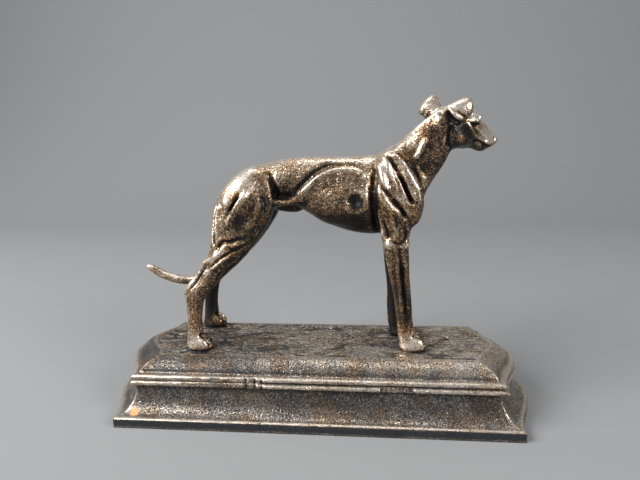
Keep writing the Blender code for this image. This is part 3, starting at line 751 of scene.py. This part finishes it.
def fused_figure():
    """The figure's solid, rounded off and meshed finely enough to carve."""
    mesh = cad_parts["greyhound"].data.copy()
    bm = bmesh.new()
    bm.from_mesh(mesh)
    bmesh.ops.remove_doubles(bm, verts=bm.verts, dist=MERGE)
    to_metres = Matrix.Translation((0, 0, DOG_LOW.z)) @ Matrix.Scale(UNIT, 4) @ Matrix(head_matrix())
    for centre, radii, tilt in HEAD_LUMPS:
        turned = Matrix.Translation(centre) @ Matrix.Rotation(math.radians(tilt), 4, "Y")
        shape = turned @ Matrix.Diagonal((*radii, 1))
        bmesh.ops.create_icosphere(bm, subdivisions=3, radius=1, matrix=to_metres @ shape)
    bm.to_mesh(mesh)
    bm.free()
    piece = object_from(mesh, "rough_figure")
    rounding = piece.modifiers.new("rounding", "SUBSURF")
    rounding.levels = rounding.render_levels = 1
    fuse = piece.modifiers.new("fuse", "REMESH")
    fuse.mode = "VOXEL"
    fuse.voxel_size = bpy.context.scene.greyhound_casting.voxel
    return evaluated_mesh(piece, "cast_greyhound")


def moulding():
    """The plinth's outer profile from the ground's edge down to the foot: inset and height."""
    cove_base = LIP_HEIGHT + FILLET / 2
    profile = []
    for turn in np.linspace(0, math.pi / 2, SHOULDER_STEPS):
        share = turn / (math.pi / 2)
        across = 1 - share + SHOULDER_BULGE * (share - math.sin(turn))
        down = 1 - share + SHOULDER_BULGE * (share - 1 + math.cos(turn))
        height = SHOULDER_BASE + (PLINTH_HIGH.z - SHOULDER_BASE) * down
        profile.append((STEP_INSET + SHOULDER_INSET * across, height))
    profile.append((STEP_INSET, SHOULDER_BASE - FILLET / 2))
    for base, inset in ((COVE_TOP + BEAD_HEIGHT, COVE_INSET + FILLET), (COVE_TOP, COVE_INSET)):
        for turn in np.linspace(0, math.pi, BEAD_STEPS)[:-1]:
            lift = BEAD_HEIGHT / 2 * (1 + math.cos(turn))
            profile.append((inset - BEAD_PROUD * math.sin(turn), base + lift))
    for turn in np.linspace(math.pi / 2, 0, COVE_STEPS):
        inset = FILLET + (COVE_INSET - FILLET) * math.sin(turn)
        profile.append((inset, cove_base + (COVE_TOP - cove_base) * (1 - math.cos(turn))))
    profile.append((LIP_ROUND, LIP_HEIGHT))
    for height in np.linspace(LIP_HEIGHT - LIP_ROUND, 0.0, LIP_STEPS):
        profile.append((0.0, height))
    return profile


def hollow():
    """The inner profile from the foot's inner edge up to the ceiling: inset and height."""
    inner = [(WALL, 0.0), (WALL + FILLET, LIP_HEIGHT)]
    for turn in np.linspace(0.2, math.pi / 2, HOLLOW_STEPS):
        inset = FILLET + (COVE_INSET - FILLET) * math.sin(turn) + WALL
        inner.append((inset, LIP_HEIGHT + COVE_HEIGHT * (1 - math.cos(turn))))
    inner.append((GROUND_INSET + WALL, PLINTH_HIGH.z - WALL))
    return inner


def plinth_sheet(columns, rows, count):
    """A grid for the ground, with its edge extruded into rings, all still square.

    Each vertex keeps its share along the plinth in x, its share across in y and
    the number of its ring in z.
    """
    bm = bmesh.new()
    bmesh.ops.create_grid(bm, x_segments=columns, y_segments=rows, size=1.0)
    edge = [e for e in bm.edges if e.is_boundary]
    for _ in range(count - 1):
        made = bmesh.ops.extrude_edge_only(bm, edges=edge)["geom"]
        corners = [part for part in made if isinstance(part, bmesh.types.BMVert)]
        bmesh.ops.translate(bm, vec=(0, 0, 1), verts=corners)
        edge = [part for part in made if isinstance(part, bmesh.types.BMEdge) and part.is_boundary]
        edge = [e for e in edge if e.verts[0].co.z == e.verts[1].co.z]
    bmesh.ops.edgeloop_fill(bm, edges=edge)
    mesh = bpy.data.meshes.new("cast_plinth")
    bm.to_mesh(mesh)
    bm.free()
    return mesh


def worn_inset(x, y, inset, height):
    """The inset of the front mouldings where the beads were badly cast."""
    front = y < 0
    in_beads = fade(height - COVE_TOP, BEAD_FADE)
    in_beads *= fade(COVE_TOP + 2 * BEAD_HEIGHT + BEAD_FADE / 2 - height, BEAD_FADE)
    blurred = BLUR_LEAST + BLUR_MORE * fade(x - BLUR_MORE_START, BLUR_MORE_FADE)
    blurred *= fade(BLUR_END - x, BLUR_FADE)
    long, tall = BLUR_LUMP
    lumps = np.array([noise.noise(Vector((a / long, 0.0, b / tall))) for a, b in zip(x, height)])
    band = COVE_INSET - BAND_PROUD + BLUR_LUMP_HEIGHT * lumps
    inset = inset + front * in_beads * blurred * (band - inset)
    for notch, width in BEAD_NOTCHES:
        inset = inset + front * in_beads * NOTCH_DEPTH * bell(x - notch, width)
    lower = fade(COVE_TOP + BEAD_HEIGHT - height, LOWER_FADE) * in_beads
    flat = fade(x - FLAT_START, FLAT_FADE) * fade(FLAT_END - x, FLAT_FADE)
    return inset + front * lower * flat * np.maximum(0, COVE_INSET - FLAT_PROUD - inset)


def leaf_relief(x, y, leaves, height):
    """Low overlapping leaves, each a lens with a midrib, laid one on another."""
    draw = random.Random(LEAF_SEED)
    relief = np.zeros(len(x))
    half_length = PLINTH_HIGH.x - GROUND_INSET
    half_width = PLINTH_HIGH.y - GROUND_INSET
    for _ in range(leaves):
        centre_x = draw.uniform(-half_length, half_length)
        centre_y = draw.uniform(-half_width, half_width)
        turn = math.radians(draw.gauss(0, LEAF_TURN) + draw.choice((0, 180)))
        length = draw.uniform(*LEAF_HALF_LENGTH)
        breadth = draw.uniform(*LEAF_HALF_BREADTH)
        along = (x - centre_x) * math.cos(turn) + (y - centre_y) * math.sin(turn)
        across = (y - centre_y) * math.cos(turn) - (x - centre_x) * math.sin(turn)
        bend = LEAF_BEND * draw.uniform(-1, 1)
        across = across - bend * along * along / length
        half = breadth * np.clip(1 - (along / length) ** 2, 0, 1)
        inside = np.abs(across) < half
        rim = 0.45 * bell(half - np.abs(across), LEAF_LINE)
        rib = 0.5 * bell(across, LEAF_LINE)
        rise = 0.35 * (along / length + 1) / 2
        leaf = height * (0.15 + rim + rib + rise)
        relief = np.where(inside, 0.35 * relief + leaf, relief)
    return relief - 0.6 * height


def placed_plinth():
    """The plinth's mesh: mouldings, damage, leaves and grain in place."""
    settings = bpy.context.scene.greyhound_casting
    outer = moulding()
    profile = np.array(outer + hollow())
    mesh = plinth_sheet(settings.columns, settings.rows, len(profile))
    points = read_points(mesh)
    along, across = points[:, 0], points[:, 1]
    row = np.rint(points[:, 2]).astype(int)
    inset, height = profile[row].T
    half_length = PLINTH_HIGH.x - END_BOW
    x_plain = along * (half_length - inset)
    outside = row < len(outer)
    inset = np.where(outside, worn_inset(x_plain, across, inset, height), inset)
    bow = END_BOW * (1 + np.cos(math.pi * across)) / 2
    placed = np.column_stack(
        [along * (half_length - inset + bow), across * (PLINTH_HIGH.y - inset), height]
    )
    write_points(mesh, placed)
    bm = bmesh.new()
    bm.from_mesh(mesh)
    bmesh.ops.recalc_face_normals(bm, faces=bm.faces)
    bm.to_mesh(mesh)
    bm.free()
    edges = read_edges(mesh)
    normals = relax(read_normals(mesh), edges, 1)
    leafy_length, leafy_width = GROUND_SHARE
    ground = (row == 0) & (np.abs(along) < leafy_length) & (np.abs(across) < leafy_width)
    leaves = leaf_relief(placed[:, 0], placed[:, 1], settings.leaves, settings.ground_relief)
    placed[:, 2] += np.where(ground, leaves, 0.0)
    grain = grain_lift(placed, settings.grain_size, *PLINTH_COARSE_GRAIN)
    grain = np.where(outside & (placed[:, 2] > 0.0004), grain - 0.6, 0.0)
    placed += normals * (PLINTH_GRAIN_HEIGHT * settings.grain_height * grain)[:, None]
    placed = np.clip(placed, PLINTH_LOW, (PLINTH_HIGH.x, PLINTH_HIGH.y, DOG_LOW.z))
    write_points(mesh, placed)
    leaf_rub = np.where(ground, LEAF_RUB * leaves / settings.ground_relief, 0.0)
    write_mask(mesh, "rub", plinth_rub_and_lighting(row, placed[:, 0], height) + leaf_rub)
    return mesh, edges


def plinth_rub_and_lighting(row, x, height):
    """The lip's face is left black, the cove is painted darker upwards as shade under the beads, and the
    dog's front end is painted lighter as painted light.
    """
    lip = (height < LIP_HEIGHT - 0.0002) & (row > 0)
    cove = (height >= LIP_HEIGHT) & (height < COVE_TOP)
    beads = (height >= COVE_TOP) & (height < SHOULDER_BASE)
    shoulder = (height > SHOULDER_BASE) & (row > 0)
    forward = x / PLINTH_HIGH.x
    rub = np.where(lip, LIP_RUB, 0.0)
    rub += np.where(height < FOOT_EDGE, FOOT_EDGE_RUB, 0.0)
    # painted shade: the cove darkens from its foot up
    rub += np.where(cove, COVE_RUB - COVE_SHADE_UPWARD * (height - LIP_HEIGHT) / COVE_HEIGHT, 0.0)
    rub += np.where(beads, BEAD_RUB, 0.0)
    # painted light: more paint towards the dog's front end
    for where, (middle, more) in ((shoulder, SHOULDER_RUB_AND_LIGHT), (row == 0, GROUND_RUB_AND_LIGHT)):
        rub += np.where(where, middle + more * forward, 0.0)
    return rub


def node_group(name, inputs, outputs):
    """A shader node group with float inputs of these defaults, one vector input and its outputs."""
    group = bpy.data.node_groups.new(name, "ShaderNodeTree")
    group.interface.new_socket("Vector", in_out="INPUT", socket_type="NodeSocketVector")
    for label, default in inputs.items():
        socket = group.interface.new_socket(label, in_out="INPUT", socket_type="NodeSocketFloat")
        socket.default_value = default
    for label in outputs:
        group.interface.new_socket(label, in_out="OUTPUT", socket_type="NodeSocketFloat")
    return group, group.nodes.new("NodeGroupInput"), group.nodes.new("NodeGroupOutput")


def feed(tree, socket, value):
    """Links a socket to another, or sets its value."""
    if isinstance(value, bpy.types.NodeSocket):
        tree.links.new(value, socket)
    else:
        socket.default_value = value


def maths(tree, operation, *values, clamp=False):
    node = tree.nodes.new("ShaderNodeMath")
    node.operation = operation
    node.use_clamp = clamp
    for socket, value in zip(node.inputs, values):
        feed(tree, socket, value)
    return node.outputs[0]


def smooth_step(tree, value, low, high):
    node = tree.nodes.new("ShaderNodeMapRange")
    node.interpolation_type = "SMOOTHSTEP"
    feed(tree, node.inputs["Value"], value)
    feed(tree, node.inputs["From Min"], low)
    feed(tree, node.inputs["From Max"], high)
    return node.outputs["Result"]


def noise_value(tree, vector, scale, detail=2.0):
    node = tree.nodes.new("ShaderNodeTexNoise")
    feed(tree, node.inputs["Vector"], vector)
    feed(tree, node.inputs["Scale"], scale)
    node.inputs["Detail"].default_value = detail
    node.inputs["Roughness"].default_value = NOISE_ROUGHNESS
    return node.outputs["Fac"]


def weighted(tree, values, shares):
    """Two values added up in these shares."""
    return maths(tree, "ADD", *[maths(tree, "MULTIPLY", *pair) for pair in zip(values, shares)])


def mixed(tree, share, first, second):
    node = tree.nodes.new("ShaderNodeMix")
    node.data_type = "RGBA"
    feed(tree, node.inputs["Factor"], share)
    feed(tree, node.inputs["A"], first)
    feed(tree, node.inputs["B"], second)
    return node.outputs["Result"]


def grain_group():
    """Sand-cast grain: lumps and pits for the bump, and a speckle where the brush skipped."""
    group, given, result = node_group("sand_cast_grain", {"Scale": 2400.0}, ["Height", "Speckle"])
    vector, scale = given.outputs["Vector"], given.outputs["Scale"]
    fine = noise_value(group, vector, scale, 1.0)
    coarse = noise_value(group, vector, maths(group, "MULTIPLY", scale, COARSE_SCALE))
    pits = group.nodes.new("ShaderNodeTexVoronoi")
    feed(group, pits.inputs["Vector"], vector)
    feed(group, pits.inputs["Scale"], maths(group, "MULTIPLY", scale, PIT_SCALE))
    pit = smooth_step(group, pits.outputs["Distance"], *PIT_RANGE)
    lumps = weighted(group, (fine, coarse), LUMP_SHARES)
    feed(group, result.inputs["Height"], maths(group, "MULTIPLY", lumps, pit))
    speckle = weighted(group, (fine, coarse), SPECKLE_SHARES)
    feed(group, result.inputs["Speckle"], maths(group, "SUBTRACT", speckle, sum(SPECKLE_SHARES) / 2))
    return group


def brush_and_shade_group():
    """Where the dry brush left paint: on crests, broken up by the grain; faces that see less open sky get
    less, as painted shade.
    """
    defaults = {
        "Ridge": 0.0,
        "Sky": 0.5,
        "Rub": 0.0,
        "Speckle": 0.0,
        "Reach": -0.13,
        "Catch": 0.5,
        "Pull": 1.1,
        "Break": 5.0,
        "Patches": 110.0,
    }
    group, given, result = node_group("dry_brush", defaults, ["Mask", "Glint"])
    get = given.outputs
    patches = maths(group, "SUBTRACT", noise_value(group, get["Vector"], get["Patches"]), 0.5)
    # painted shade: less paint where less of the sky is open
    sky_shade = maths(group, "SUBTRACT", get["Sky"], 0.5)
    amount = maths(group, "ADD", get["Reach"], get["Rub"])
    for value, share in (
        (get["Ridge"], get["Catch"]),
        (sky_shade, get["Pull"]),
        (patches, PATCH_SHARE),
        (get["Speckle"], get["Break"]),
    ):
        amount = maths(group, "MULTIPLY_ADD", value, share, amount)
    feed(group, result.inputs["Mask"], smooth_step(group, amount, *MASK_RANGE))
    feed(group, result.inputs["Glint"], smooth_step(group, amount, *GLINT_RANGE))
    return group


def attribute(tree, name):
    node = tree.nodes.new("ShaderNodeAttribute")
    node.attribute_name = name
    return node.outputs["Fac"]


def use_group(tree, group, **values):
    node = tree.nodes.new("ShaderNodeGroup")
    node.node_tree = group
    for label, value in values.items():
        feed(tree, node.inputs[label], value)
    return node.outputs


def opaque(tone):
    return (*tone, 1.0)


def painted_iron(name, tones, speckle_scale, broken, bump_height):
    """Black paint over cast iron, with bronze and silver dry-brushed over it, and painted light and shade
    from the sky and rub masks.
    """
    made = bpy.data.materials.new(name)
    made.use_nodes = True
    tree = made.node_tree
    shader = tree.nodes["Principled BSDF"]
    place = tree.nodes.new("ShaderNodeTexCoord").outputs["Object"]
    grain, brush = shared_groups()
    skin = use_group(tree, grain, Vector=place, Scale=speckle_scale)
    rubbed = use_group(
        tree,
        brush,
        Vector=place,
        Ridge=attribute(tree, "ridge"),
        # the sky mask paints shade, and the rub mask paints light and shade as well as rubbing
        Sky=attribute(tree, "sky"),
        Rub=attribute(tree, "rub"),
        Speckle=skin["Speckle"],
        Break=broken,
    )
    tint = smooth_step(tree, noise_value(tree, place, TINT_SCALE), *TINT_RANGE)
    shader.inputs["Specular IOR Level"].default_value = SPECULAR
    base, plain, warm, pale = tones
    bronze = mixed(tree, tint, opaque(plain), opaque(warm))
    paint = mixed(tree, rubbed["Mask"], opaque(base), bronze)
    paint = mixed(tree, rubbed["Glint"], paint, opaque(pale))
    feed(tree, shader.inputs["Base Color"], paint)
    dull = maths(tree, "MULTIPLY_ADD", skin["Speckle"], SPECKLE_SHINE, ROUGHNESS, clamp=True)
    feed(tree, shader.inputs["Roughness"], dull)
    feed(tree, shader.inputs["Metallic"], maths(tree, "MULTIPLY", rubbed["Mask"], PAINT_METAL))
    bump = tree.nodes.new("ShaderNodeBump")
    bump.inputs["Strength"].default_value = BUMP_STRENGTH
    bump.inputs["Distance"].default_value = bump_height
    feed(tree, bump.inputs["Height"], skin["Height"])
    feed(tree, shader.inputs["Normal"], bump.outputs["Normal"])
    return made, paint


def add_rust(made, paint):
    """A bare rusty spot at one place on the surface."""
    tree = made.node_tree
    shader = tree.nodes["Principled BSDF"]
    place = tree.nodes.new("ShaderNodeTexCoord").outputs["Object"]
    gap = tree.nodes.new("ShaderNodeVectorMath")
    gap.operation = "DISTANCE"
    feed(tree, gap.inputs[0], place)
    gap.inputs[1].default_value = RUST_PLACE
    rough_edge = noise_value(tree, place, RUST_EDGE_SCALE)
    ragged = maths(tree, "MULTIPLY_ADD", rough_edge, RUST_RADIUS, gap.outputs["Value"])
    spot = smooth_step(tree, ragged, *(share * RUST_RADIUS for share in RUST_EDGE))
    rust = opaque(bpy.context.scene.greyhound_finish.rust)
    pale = tuple(min(1.0, RUST_PALER * part) for part in rust)
    mottled = mixed(tree, noise_value(tree, place, RUST_MOTTLE_SCALE), rust, pale)
    feed(tree, shader.inputs["Base Color"], mixed(tree, spot, paint, mottled))
    bright = shader.inputs["Metallic"].links[0].from_socket
    sound = maths(tree, "SUBTRACT", 1.0, spot)
    feed(tree, shader.inputs["Metallic"], maths(tree, "MULTIPLY", bright, sound))


def shared_groups():
    names = ("sand_cast_grain", "dry_brush")
    makers = (grain_group, brush_and_shade_group)
    return [bpy.data.node_groups.get(name) or maker() for name, maker in zip(names, makers)]


def blockers_from(*meshes):
    """One search tree over the meshes, for finding what shades what."""
    corners, faces = [], []
    for mesh in meshes:
        start = len(corners)
        corners += [v.co.copy() for v in mesh.vertices]
        faces += [[start + i for i in face.vertices] for face in mesh.polygons]
    return BVHTree.FromPolygons(corners, faces)


def finish_piece(piece, node, made):
    piece.data.materials.clear()
    piece.data.materials.append(made)
    piece.data.shade_smooth()
    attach(piece, "root")
    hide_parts(node)


class GREYHOUND_OT_plinth(bpy.types.Operator):
    """Cast the moulded plinth with its leafy ground"""

    bl_idname = "greyhound.plinth"
    bl_label = "Cast the plinth"

    def execute(self, context):
        mesh, edges = placed_plinth()
        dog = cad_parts["greyhound"].data
        write_mask(mesh, "ridge", ridge_mask(mesh, edges))
        # the sky mask is painted shade, darker under things and in hollows
        write_mask(mesh, "sky", sky_shade_mask(mesh, edges, blockers_from(mesh, dog)))
        finish = context.scene.greyhound_finish
        tones = (finish.slate_and_sheen, finish.pewter, finish.bronze, finish.silver)
        made, paint = painted_iron("worn_iron", tones, 2300.0, broken=5.6, bump_height=0.00016)
        add_rust(made, paint)
        finish_piece(object_from(mesh, "cast_plinth"), "plinth", made)
        return {"FINISHED"}


class GREYHOUND_OT_figure(bpy.types.Operator):
    """Cast the standing greyhound"""

    bl_idname = "greyhound.figure"
    bl_label = "Cast the greyhound"

    def execute(self, context):
        mesh = fused_figure()
        edges = sculpted(mesh)
        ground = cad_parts["plinth"].data
        write_mask(mesh, "ridge", ridge_mask(mesh, edges))
        # the sky mask is painted shade, darker under things and in hollows
        write_mask(mesh, "sky", sky_shade_mask(mesh, edges, blockers_from(mesh, ground)))
        finish = context.scene.greyhound_finish
        tones = (finish.black, finish.bronze, finish.ochre, finish.silver)
        made, _ = painted_iron("bronzed_iron", tones, 1650.0, broken=4.4, bump_height=0.00018)
        finish_piece(object_from(mesh, "cast_greyhound"), "greyhound", made)
        return {"FINISHED"}


def add_camera():
    lens = bpy.data.cameras.new("camera")
    lens.lens = CAMERA_LENS
    lens.sensor_width = CAMERA_SENSOR
    lens.clip_start = CAMERA_NEAR
    camera = bpy.data.objects.new("camera", lens)
    bpy.context.scene.collection.objects.link(camera)
    bpy.context.scene.camera = camera
    forward = CAMERA_FORWARD.normalized()
    right = (CAMERA_RIGHT - forward * CAMERA_RIGHT.dot(forward)).normalized()
    turn = Matrix((right, right.cross(forward), -forward)).transposed()
    camera.matrix_world = Matrix.Translation(CAMERA_PLACE) @ turn.to_4x4()


def add_light(name, place, size, power):
    lamp = bpy.data.lights.new(name, "AREA")
    lamp.size = size
    lamp.energy = power
    light = bpy.data.objects.new(name, lamp)
    light.location = place
    light.rotation_mode = "QUATERNION"
    light.rotation_quaternion = (LOOK_AT - Vector(place)).to_track_quat("-Z", "Y")
    bpy.context.scene.collection.objects.link(light)


def add_sweep():
    """A floor that curves up into a backdrop."""
    bm = bmesh.new()
    start = bm.verts.new((-FLOOR_REACH, -FLOOR_REACH, 0))
    line = [start, bm.verts.new((-FLOOR_REACH, SWEEP_START, 0))]
    for i in range(1, SWEEP_STEPS + 1):
        turn = i / SWEEP_STEPS * math.pi / 2
        away = SWEEP_START + SWEEP_RADIUS * math.sin(turn)
        line.append(bm.verts.new((-FLOOR_REACH, away, SWEEP_RADIUS * (1 - math.cos(turn)))))
    line.append(bm.verts.new((-FLOOR_REACH, SWEEP_START + SWEEP_RADIUS, FLOOR_REACH)))
    edges = [bm.edges.new(pair) for pair in zip(line, line[1:])]
    made = bmesh.ops.extrude_edge_only(bm, edges=edges)["geom"]
    corners = [part for part in made if isinstance(part, bmesh.types.BMVert)]
    bmesh.ops.translate(bm, vec=(2 * FLOOR_REACH, 0, 0), verts=corners)
    bmesh.ops.recalc_face_normals(bm, faces=bm.faces)
    mesh = bpy.data.meshes.new("studio_floor")
    bm.to_mesh(mesh)
    bm.free()
    mesh.shade_smooth()
    floor = object_from(mesh, "studio_floor")
    paper = bpy.data.materials.new("studio_paper")
    paper.use_nodes = True
    shader = paper.node_tree.nodes["Principled BSDF"]
    shader.inputs["Base Color"].default_value = opaque(bpy.context.scene.greyhound_finish.floor)
    shader.inputs["Roughness"].default_value = FLOOR_ROUGHNESS
    mesh.materials.append(paper)


class GREYHOUND_OT_stage(bpy.types.Operator):
    """Set the floor, the lights and the camera"""

    bl_idname = "greyhound.stage"
    bl_label = "Set the stage"

    def execute(self, context):
        studio = context.scene.greyhound_studio
        add_sweep()
        add_camera()
        for name, place, size, power in LIGHTS:
            add_light(name, place, size, getattr(studio, power))
        world = bpy.data.worlds.new("room")
        world.use_nodes = True
        background = world.node_tree.nodes["Background"]
        background.inputs["Color"].default_value = opaque(ROOM_COLOUR)
        background.inputs["Strength"].default_value = studio.sky
        context.scene.world = world
        context.scene.view_settings.view_transform = "Standard"
        context.scene.view_settings.exposure = studio.exposure
        return {"FINISHED"}


class GREYHOUND_PT_panel(bpy.types.Panel):
    """The statue's sizes, colours and steps"""

    bl_label = "Cast greyhound"
    bl_idname = "GREYHOUND_PT_panel"
    bl_space_type = "VIEW_3D"
    bl_region_type = "UI"
    bl_category = "Greyhound"

    def draw(self, context):
        column = self.layout.column()
        for settings in ("greyhound_casting", "greyhound_finish", "greyhound_studio"):
            group = getattr(context.scene, settings)
            for name in group.__annotations__:
                column.prop(group, name)
        for operator in OPERATORS:
            column.operator(operator.bl_idname)


SETTINGS = {
    "greyhound_casting": CastingSettings,
    "greyhound_finish": FinishSettings,
    "greyhound_studio": StudioSettings,
}
OPERATORS = (GREYHOUND_OT_plinth, GREYHOUND_OT_figure, GREYHOUND_OT_stage)


def register():
    for made in (*SETTINGS.values(), *OPERATORS, GREYHOUND_PT_panel):
        bpy.utils.register_class(made)
    for name, group in SETTINGS.items():
        setattr(bpy.types.Scene, name, PointerProperty(type=group))


def unregister():
    for name in SETTINGS:
        delattr(bpy.types.Scene, name)
    for made in (GREYHOUND_PT_panel, *OPERATORS, *SETTINGS.values()):
        bpy.utils.unregister_class(made)


def main():
    register()
    bpy.ops.greyhound.plinth()
    bpy.ops.greyhound.figure()
    bpy.ops.greyhound.stage()


if __name__ == "__main__":
    main()
